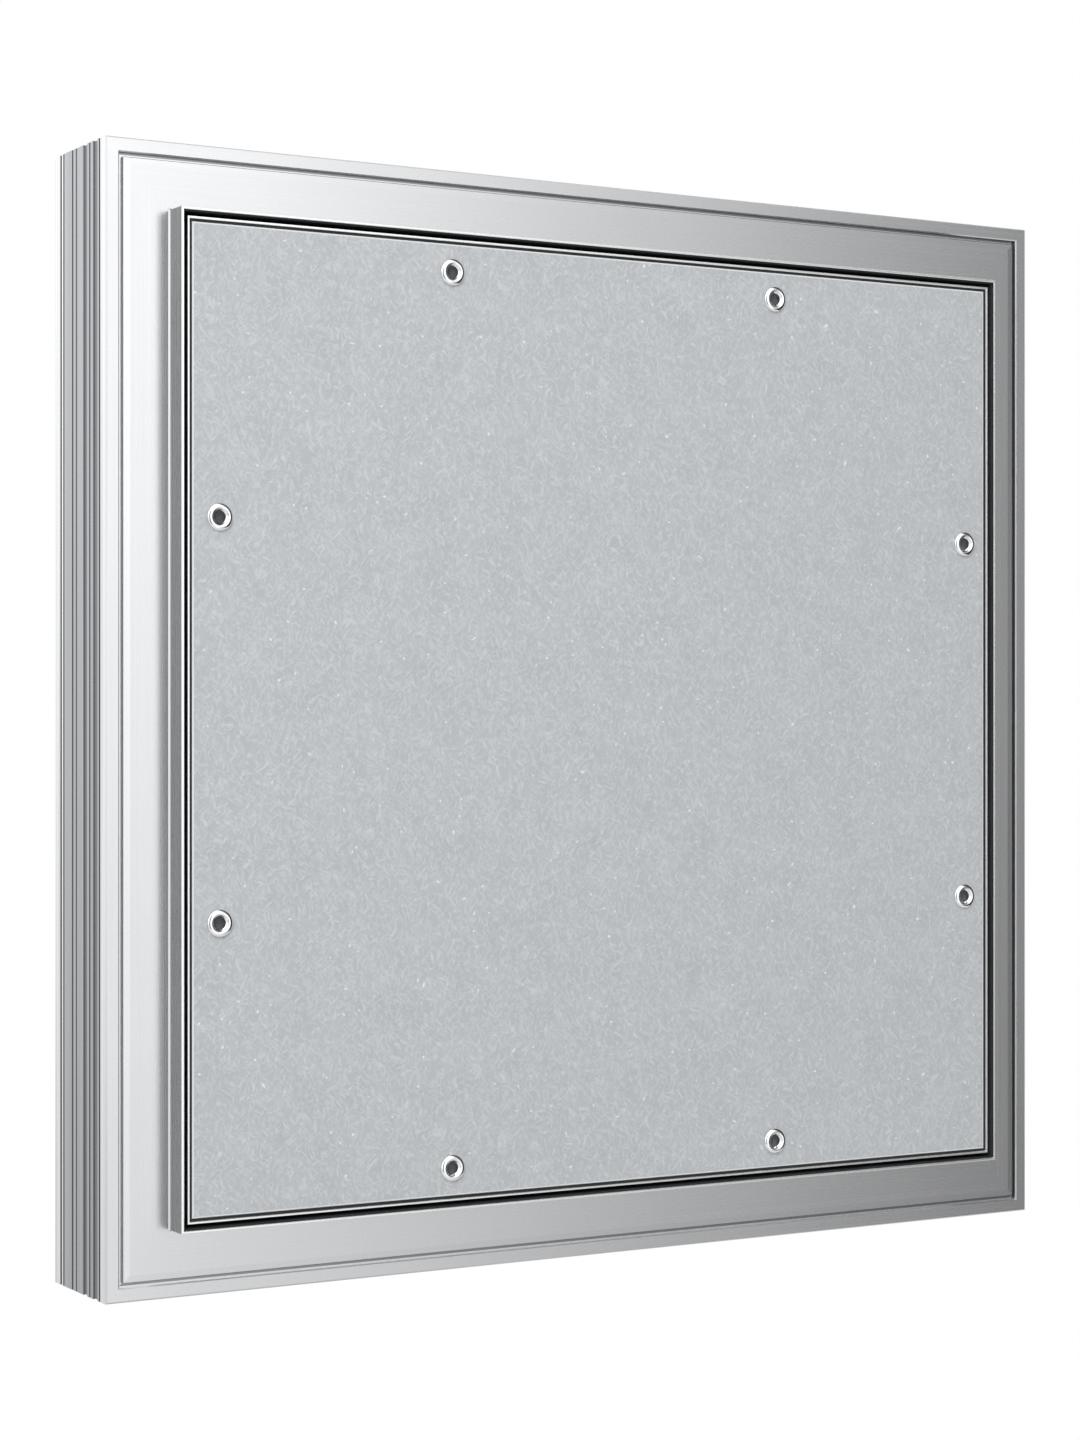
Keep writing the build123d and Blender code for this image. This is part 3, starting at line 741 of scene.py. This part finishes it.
# Strikers
# Turned stainless studs, riveted through the ledge on the latches' side. The collar seats on the
# ledge, and the round head snaps into the slider's jaws.
striker_inset = 34.55
latch_height = 106.0
ledge_wall = 1.3
striker_shank_radius = 1.9
striker_head_radius = 2.5
striker_collar_radius = 4.5
striker_collar_height = 1.0
striker_collar_edge = 0.3
striker_head_start = 8.1
striker_length = 11.35
head_middle = (striker_head_start + striker_length) / 2
collar_middle = (striker_collar_radius - striker_collar_edge, striker_collar_height / 2)
striker_profile = np.concatenate(
    [
        [(0, -ledge_wall), (striker_shank_radius, -ledge_wall), (striker_shank_radius, 0)],
        arc((0, 0), 1, -90, 90, 9) * (striker_collar_edge, collar_middle[1]) + collar_middle,
        [(striker_shank_radius, striker_collar_height)],
        arc((0, 0), 1, -49, 90, 16) * (striker_head_radius, striker_length - head_middle)
        + (0, head_middle),
    ]
)
for place, side in (("top", 1), ("bottom", -1)):
    make_piece(
        f"turned_striker_{place}",
        [
            turned(
                striker_profile,
                (frame_half - striker_inset, leaf_rear - frame_depth, side * latch_height),
                (0, 1, 0),
            )
        ],
        False,
        steel,
        "leaf",
        "stainless_steel",
        f"latch_striker_{place}",
    )

# Hinge brackets and links
# Folded 2 mm steel, zinc plated. One bracket is screwed to the frame's inner wall and one to the
# leaf's ledge, and the link between them lets the leaf come forward before it turns.
hinge_plates = [
    f"hinge_{kind}_{place}"
    for kind in ("frame_bracket", "leaf_bracket", "link")
    for place in ("top", "bottom")
]
give(hinge_plates, zinc)

# Hinge pins
# Stainless pins through the brackets' ears, with each end spun over into a low dome that keeps a
# small dimple from the tool.
hinge_height = 106.0
frame_pivot = (-165.0, -39.4)
leaf_pivot = (-161.6551, -7.5753)
frame_ear_outer = 5.4
leaf_ear_outer = 8.8
pin_radius = 2.0
pin_head_radius = 3.0
pin_head_height = 0.8
pin_dimple_radius = 0.9
pin_dimple_depth = 0.25


def spun_pin(pivot, centre, half_length):
    """A pin whose head's height is its edge's round up to height * (1 - 0.25 * q^2) over radius q,
    less a dimple of depth * (1 - (q / dimple)^2) at its middle."""
    rise = np.linspace(0.0, 0.97, 14)
    swell = pin_head_height * (1 - 0.25 * rise**2)
    dimple = pin_dimple_radius / pin_head_radius
    swell -= pin_dimple_depth * np.clip(1 - (rise / dimple) ** 2, 0, 1)
    crown = np.stack([rise * pin_head_radius, half_length + swell], -1)
    rim = [(pin_head_radius, half_length + pin_head_height / 2), (pin_head_radius, half_length)]
    upper = np.concatenate([crown, rim, [(pin_radius, half_length)]])
    profile = np.concatenate([upper, upper[::-1] * (1, -1)])
    return turned(profile, (*pivot, centre), (0, 0, 1), 32)


for name, pivot, reach, body in (
    ("frame_pins_spun", frame_pivot, frame_ear_outer, "frame"),
    ("leaf_pins_spun", leaf_pivot, leaf_ear_outer, "leaf"),
):
    make_piece(
        name,
        [spun_pin(pivot, centre, reach) for centre in (hinge_height, -hinge_height)],
        False,
        steel,
        body,
        "stainless_steel",
        f"hinge_{body}_pins",
    )

# Hinge bushes, and the latches' sliders
# Moulded acetal, milky white and slightly waxy, which runs dry on steel and in the housings.
acetal_colour = "#e9e8e2"
acetal_shade = "#dddbd3"


def acetal():
    """White acetal: satin, faintly translucent, with the soft flow marks of moulding."""
    material, tree, shader, place = start_material("white_acetal_moulded", 0.0, 0.32)
    shader.inputs["Subsurface Weight"].default_value = 0.15
    shader.inputs["Subsurface Scale"].default_value = 1.5 * mm
    flow_inputs = {"Vector": place, "Scale": 1 / (6 * mm), "Detail": 2.0}
    flow = add_node(tree, "ShaderNodeTexNoise", {}, flow_inputs)
    tones = {"Factor": flow.outputs["Fac"], "A": linear(acetal_shade), "B": linear(acetal_colour)}
    colour = add_node(tree, "ShaderNodeMix", {"data_type": "RGBA"}, tones)
    tree.links.new(colour.outputs["Result"], shader.inputs["Base Color"])
    spread = {"Value": flow.outputs["Fac"], "To Min": 0.24, "To Max": 0.4}
    rough = add_node(tree, "ShaderNodeMapRange", {}, spread)
    tree.links.new(rough.outputs[0], shader.inputs["Roughness"])
    return material


white_acetal = acetal()
give(["hinge_frame_bushes", "hinge_leaf_bushes"], white_acetal)
give(["latch_slider_top", "latch_slider_bottom"], white_acetal)

# Latch housings
# Glass-filled polyamide, moulded black with a fine spark-eroded grain, one screw lug at each end.
housing_colour = "#141517"
housing_shade = "#222427"
housing_grain = 0.5


def black_polyamide():
    """Black glass-filled polyamide: fine even grain, with paler glass blooming at the surface."""
    material, tree, shader, place = start_material("black_polyamide_moulded", 0.0, 0.5)
    grain_inputs = {"Vector": place, "Scale": 1 / (housing_grain * mm), "Detail": 2.0}
    grain = add_node(tree, "ShaderNodeTexNoise", {}, grain_inputs)
    bloom_inputs = {"Vector": place, "Scale": 1 / (8 * mm), "Detail": 4.0}
    bloom = add_node(tree, "ShaderNodeTexNoise", {}, bloom_inputs)
    tones = {"Factor": bloom.outputs["Fac"], "A": linear(housing_colour), "B": linear(housing_shade)}
    colour = add_node(tree, "ShaderNodeMix", {"data_type": "RGBA"}, tones)
    tree.links.new(colour.outputs["Result"], shader.inputs["Base Color"])
    relief = {"Height": grain.outputs["Fac"], "Distance": 0.04 * mm, "Strength": 0.7}
    bump = add_node(tree, "ShaderNodeBump", {}, relief)
    tree.links.new(bump.outputs[0], shader.inputs["Normal"])
    return material


give(["latch_housing_top", "latch_housing_bottom"], black_polyamide())

# Latch springs
# Compression springs of round steel wire behind the sliders, with a closed coil at each end. They
# shorten as the slider is pushed in.
spring_radius = 3.6
wire_radius = 0.45
spring_front = 24.0
spring_rear = 39.0
spring_turns = 4


def wound_spring(centre):
    """Round wire along a helix about Y. Its height is the turns' running sum of the pitch, which is
    the wire's width in the first and last turn and the rest shared evenly between them. The wire's
    section is a circle in the plane of the radius and the axis, drawn in to a point at the ends."""
    turns = np.linspace(0, spring_turns + 2, 40 * (spring_turns + 2) + 1)
    closed = 2 * wire_radius
    free_length = spring_rear - spring_front - 2 * wire_radius - 2 * closed
    open_turns = np.clip(turns - 1, 0, spring_turns)
    height = closed * (turns - open_turns) + free_length * open_turns / spring_turns
    round_wire = np.linspace(0, 2 * pi, 12, endpoint=False)
    section, spot = np.meshgrid(round_wire, np.arange(len(turns)), indexing="ij")
    reach = wire_radius * np.clip(np.minimum(spot, len(turns) - 1 - spot), 0, 1)
    radius = spring_radius + reach * np.cos(section)
    along = height[spot] + wire_radius + reach * np.sin(section)
    origin = (frame_half - striker_inset, spring_front - frame_depth, centre)
    return around(radius, along, 2 * pi * turns[spot], origin, (0, 1, 0))


spring_wire = tumbled_metal("spring_steel_drawn", "#9b9da0", 0.3)
for place, side in (("top", 1), ("bottom", -1)):
    coil = make_piece(
        f"wound_spring_{place}",
        [wound_spring(side * latch_height)],
        False,
        spring_wire,
        "frame",
        "spring_steel",
        f"latch_spring_{place}",
    )
    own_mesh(coil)

# Screws
# Zinc-plated 4 mm pan-head screws with a cross recess, driven through the brackets and housings
# into the aluminium.
screw_radius = 2.0
screw_root_radius = 1.62
screw_pitch = 0.7
screw_head_radius = 3.6
screw_head_height = 2.0
recess_reach = 2.0
recess_half_width = 0.5
recess_depth = 1.3
screw_head_step = np.linspace(0, 1, 22)


def cross_recess_screw(origin, axis, length):
    """A screw about an axis, as radii and heights over the angle.

    The head's height is height * (1 - 0.45 * q^2.6) over radius q, less the recess, whose depth
    falls from its middle to its reach and is full within half a width of either cross line. The
    shank's radius rises from root to crest as a triangle wave of height / pitch + angle / 2 pi.
    """
    angle = np.linspace(0, 2 * pi, 64, endpoint=False)[:, None]
    head_radius = screw_head_radius * screw_head_step
    head_height = screw_head_height * (1 - 0.45 * screw_head_step**2.6)
    nearest_line = np.minimum(np.abs(np.sin(angle)), np.abs(np.cos(angle))) * head_radius
    inside = np.clip((recess_half_width - nearest_line) / 0.15, 0, 1)
    fall = np.clip(1 - head_radius / recess_reach, 0, 1) ** 0.5
    top = head_height - recess_depth * inside * fall
    shank_height = -np.linspace(0, length, int(8 * length / screw_pitch))
    wave = np.abs(2 * ((shank_height / screw_pitch + angle / (2 * pi)) % 1) - 1)
    shank = screw_root_radius + (screw_radius - screw_root_radius) * wave
    shank[:, -1] = screw_root_radius * 0.7
    ones = np.ones_like(angle)
    radius = np.concatenate(
        [ones * head_radius, ones * screw_head_radius, shank, ones * 0], axis=1
    )
    height = np.concatenate([top, ones * 0, ones * shank_height, ones * -length], axis=1)
    return around(radius, height, ones * angle * np.ones_like(radius), origin, axis)


frame_screw_y = 17.2 - frame_depth
latch_screw_y = 21.5 - frame_depth
leaf_screw_y = 4.65 - frame_depth
hinge_spots = [side * hinge_height + step for side in (1, -1) for step in (-17.0, 17.0)]
latch_spots = [side * latch_height + step for side in (1, -1) for step in (-18.0, 18.0)]
screw_rows = {
    "frame_hinge_screws_cross_recess": (
        [((-173.45, frame_screw_y, z), (1, 0, 0), 5.0) for z in hinge_spots],
        "frame",
        "hinge_frame_screws",
    ),
    "leaf_hinge_screws_cross_recess": (
        [((-154.8, leaf_screw_y, z), (0, 1, 0), 3.3) for z in hinge_spots],
        "leaf",
        "hinge_leaf_screws",
    ),
    "latch_screws_cross_recess": (
        [((172.45, latch_screw_y, z), (-1, 0, 0), 6.0) for z in latch_spots],
        "frame",
        "latch_screws",
    ),
}
for name, (spots, body, node_name) in screw_rows.items():
    make_piece(
        name,
        [cross_recess_screw(*spot) for spot in spots],
        False,
        zinc,
        body,
        "zinc_plated_steel",
        node_name,
    )

# Studio
# A pale round floor below the panel that fades into white, and an even white surround. For glossy
# surfaces the surround is a bright screen ahead of the panel that darkens to the right, and grey
# cloth hangs behind the camera. A soft box stands to the upper left.
floor_drop = 750.0
floor_radius = 1300.0
floor_fade_start = 600.0
floor_colour = "#f7f7f6"
cloth_width = 520.0
cloth_height = 1300.0
cloth_gap = 60.0
cloth_colour = "#a0a0a2"
soft_box_place = (-900.0, -1300.0, 900.0)
soft_box_size = 900.0
soft_box_power = 16.5
surround_level = 0.56
camera_place = (-586.85, -1017.2, 0.0)
camera_turn = 29.951
focal_length = 75.485
film_height = 36.0
screen_levels = {
    -180: 1.3,
    -140: 1.3,
    -100: 1.25,
    -45: 1.3,
    -10: 1.35,
    0: 1.42,
    14: 1.9,
    43: 0.0,
    62: 0.0,
    120: 0.85,
    180: 1.3,
}

camera_data = bpy.data.cameras.new("camera")
camera_data.lens = focal_length
camera_data.sensor_fit = "VERTICAL"
camera_data.sensor_height = film_height
camera = bpy.data.objects.new("camera", camera_data)
camera.location = np.array(camera_place) * mm
camera.rotation_euler = (pi / 2, 0, -radians(camera_turn))
bpy.context.scene.collection.objects.link(camera)
bpy.context.scene.camera = camera



def floor_finish():
    """Matt painted floor that, for the camera and for glossy surfaces, fades into white light."""
    material, tree, shader, place = start_material("pale_matt_floor", 0.0, 0.9)
    shader.inputs["Base Color"].default_value = linear(floor_colour)
    path = add_node(tree, "ShaderNodeLightPath", {}, {})
    looked_at = add_node(
        tree,
        "ShaderNodeMath",
        {"operation": "MAXIMUM"},
        {0: path.outputs["Is Camera Ray"], 1: path.outputs["Is Glossy Ray"]},
    )
    flat = add_node(tree, "ShaderNodeMapping", {}, {"Vector": place, "Scale": (1, 1, 0)})
    distance = add_node(
        tree, "ShaderNodeVectorMath", {"operation": "LENGTH"}, {0: flat.outputs[0]}
    )
    fade = add_node(
        tree,
        "ShaderNodeMapRange",
        {"interpolation_type": "SMOOTHSTEP"},
        {
            "Value": distance.outputs["Value"],
            "From Min": floor_fade_start * mm,
            "From Max": floor_radius * 0.96 * mm,
        },
    )
    factor = add_node(
        tree,
        "ShaderNodeMath",
        {"operation": "MULTIPLY"},
        {0: fade.outputs[0], 1: looked_at.outputs[0]},
    )
    glow = add_node(tree, "ShaderNodeEmission", {}, {"Strength": 1.0})
    blend = add_node(tree, "ShaderNodeMixShader", {}, {0: factor.outputs[0]})
    tree.links.new(shader.outputs[0], blend.inputs[1])
    tree.links.new(glow.outputs[0], blend.inputs[2])
    out = next(node for node in tree.nodes if node.type == "OUTPUT_MATERIAL")
    tree.links.new(blend.outputs[0], out.inputs["Surface"])
    return material


def stage_piece(name, grid, material):
    """A flat piece of the studio from one grid of points, which isn't part of the panel."""
    mesh = bpy.data.meshes.new(name)
    mesh.from_pydata(grid.reshape(-1, 3), [], grid_faces(grid.shape[0], grid.shape[1], False))
    mesh.materials.append(material)
    piece = bpy.data.objects.new(name, mesh)
    bpy.context.scene.collection.objects.link(piece)
    return piece


floor_rings = turned([(1, 0), (floor_radius, 0)], (0, 0, -floor_drop), (0, 0, 1), 96)
stage_piece("floor", floor_rings, floor_finish())

cloth_material, _, cloth_shader, _ = start_material("grey_cloth", 0.0, 1.0)
cloth_shader.inputs["Base Color"].default_value = linear(cloth_colour)
turn = radians(camera_turn)
ahead = np.array([np.sin(turn), np.cos(turn), 0])
aside = np.array([np.cos(turn), -np.sin(turn), 0])
cloth_centre = np.array(camera_place) - cloth_gap * ahead
cloth_corners = [
    cloth_centre + cloth_width / 2 * a * aside + cloth_height / 2 * b * np.array([0, 0, 1])
    for a, b in [(-1, -1), (1, -1), (1, 1), (-1, 1)]
]
cloth_grid = np.array([[corner, cloth_centre] for corner in cloth_corners]) * mm
cloth = stage_piece("grey_cloth_behind_camera", cloth_grid, cloth_material)
cloth.visible_camera = False
cloth.visible_diffuse = False
cloth.visible_shadow = False
cloth.visible_transmission = False

soft_box = bpy.data.lights.new("soft_box", "AREA")
soft_box.shape = "SQUARE"
soft_box.size = soft_box_size * mm
soft_box.energy = soft_box_power
lamp = bpy.data.objects.new("soft_box", soft_box)
lamp.location = np.array(soft_box_place) * mm
lamp.visible_glossy = False
lamp.rotation_euler = Vector(soft_box_place).to_track_quat("Z", "Y").to_euler()
bpy.context.scene.collection.objects.link(lamp)

world = bpy.data.worlds.new("studio")
bpy.context.scene.world = world
world.use_nodes = True
tree = world.node_tree
direction = add_node(tree, "ShaderNodeTexCoord", {}, {})
split = add_node(tree, "ShaderNodeSeparateXYZ", {}, {"Vector": direction.outputs["Generated"]})
forward = add_node(
    tree, "ShaderNodeMath", {"operation": "MULTIPLY"}, {0: split.outputs["Y"], 1: -1.0}
)
heading = add_node(
    tree,
    "ShaderNodeMath",
    {"operation": "ARCTAN2"},
    {0: split.outputs["X"], 1: forward.outputs[0]},
)
share = add_node(
    tree, "ShaderNodeMapRange", {}, {"Value": heading.outputs[0], "From Min": -pi, "From Max": pi}
)
screen = add_node(tree, "ShaderNodeValToRGB", {}, {"Fac": share.outputs[0]})
stops = screen.color_ramp.elements
while len(stops) < len(screen_levels):
    stops.new(0.5)
for stop, (angle, level) in zip(stops, screen_levels.items()):
    stop.position = (angle + 180) / 360
    stop.color = (level, level, level, 1)
lifted = add_node(
    tree,
    "ShaderNodeMapRange",
    {},
    {
        "Value": split.outputs["Z"],
        "From Min": -0.3,
        "From Max": 0.3,
        "To Min": 0.66,
        "To Max": 1.26,
    },
)
shaded = add_node(
    tree,
    "ShaderNodeVectorMath",
    {"operation": "SCALE"},
    {0: screen.outputs["Color"], "Scale": lifted.outputs[0]},
)
path = add_node(tree, "ShaderNodeLightPath", {}, {})
light = add_node(
    tree,
    "ShaderNodeMix",
    {"data_type": "RGBA"},
    {
        "Factor": path.outputs["Is Glossy Ray"],
        "A": (surround_level, surround_level, surround_level, 1),
        "B": shaded.outputs[0],
    },
)
seen = add_node(
    tree,
    "ShaderNodeMix",
    {"data_type": "RGBA"},
    {"Factor": path.outputs["Is Camera Ray"], "A": light.outputs["Result"], "B": (1, 1, 1, 1)},
)
background = next(node for node in tree.nodes if node.type == "BACKGROUND")
tree.links.new(seen.outputs["Result"], background.inputs["Color"])

bpy.context.scene.view_settings.view_transform = "Standard"
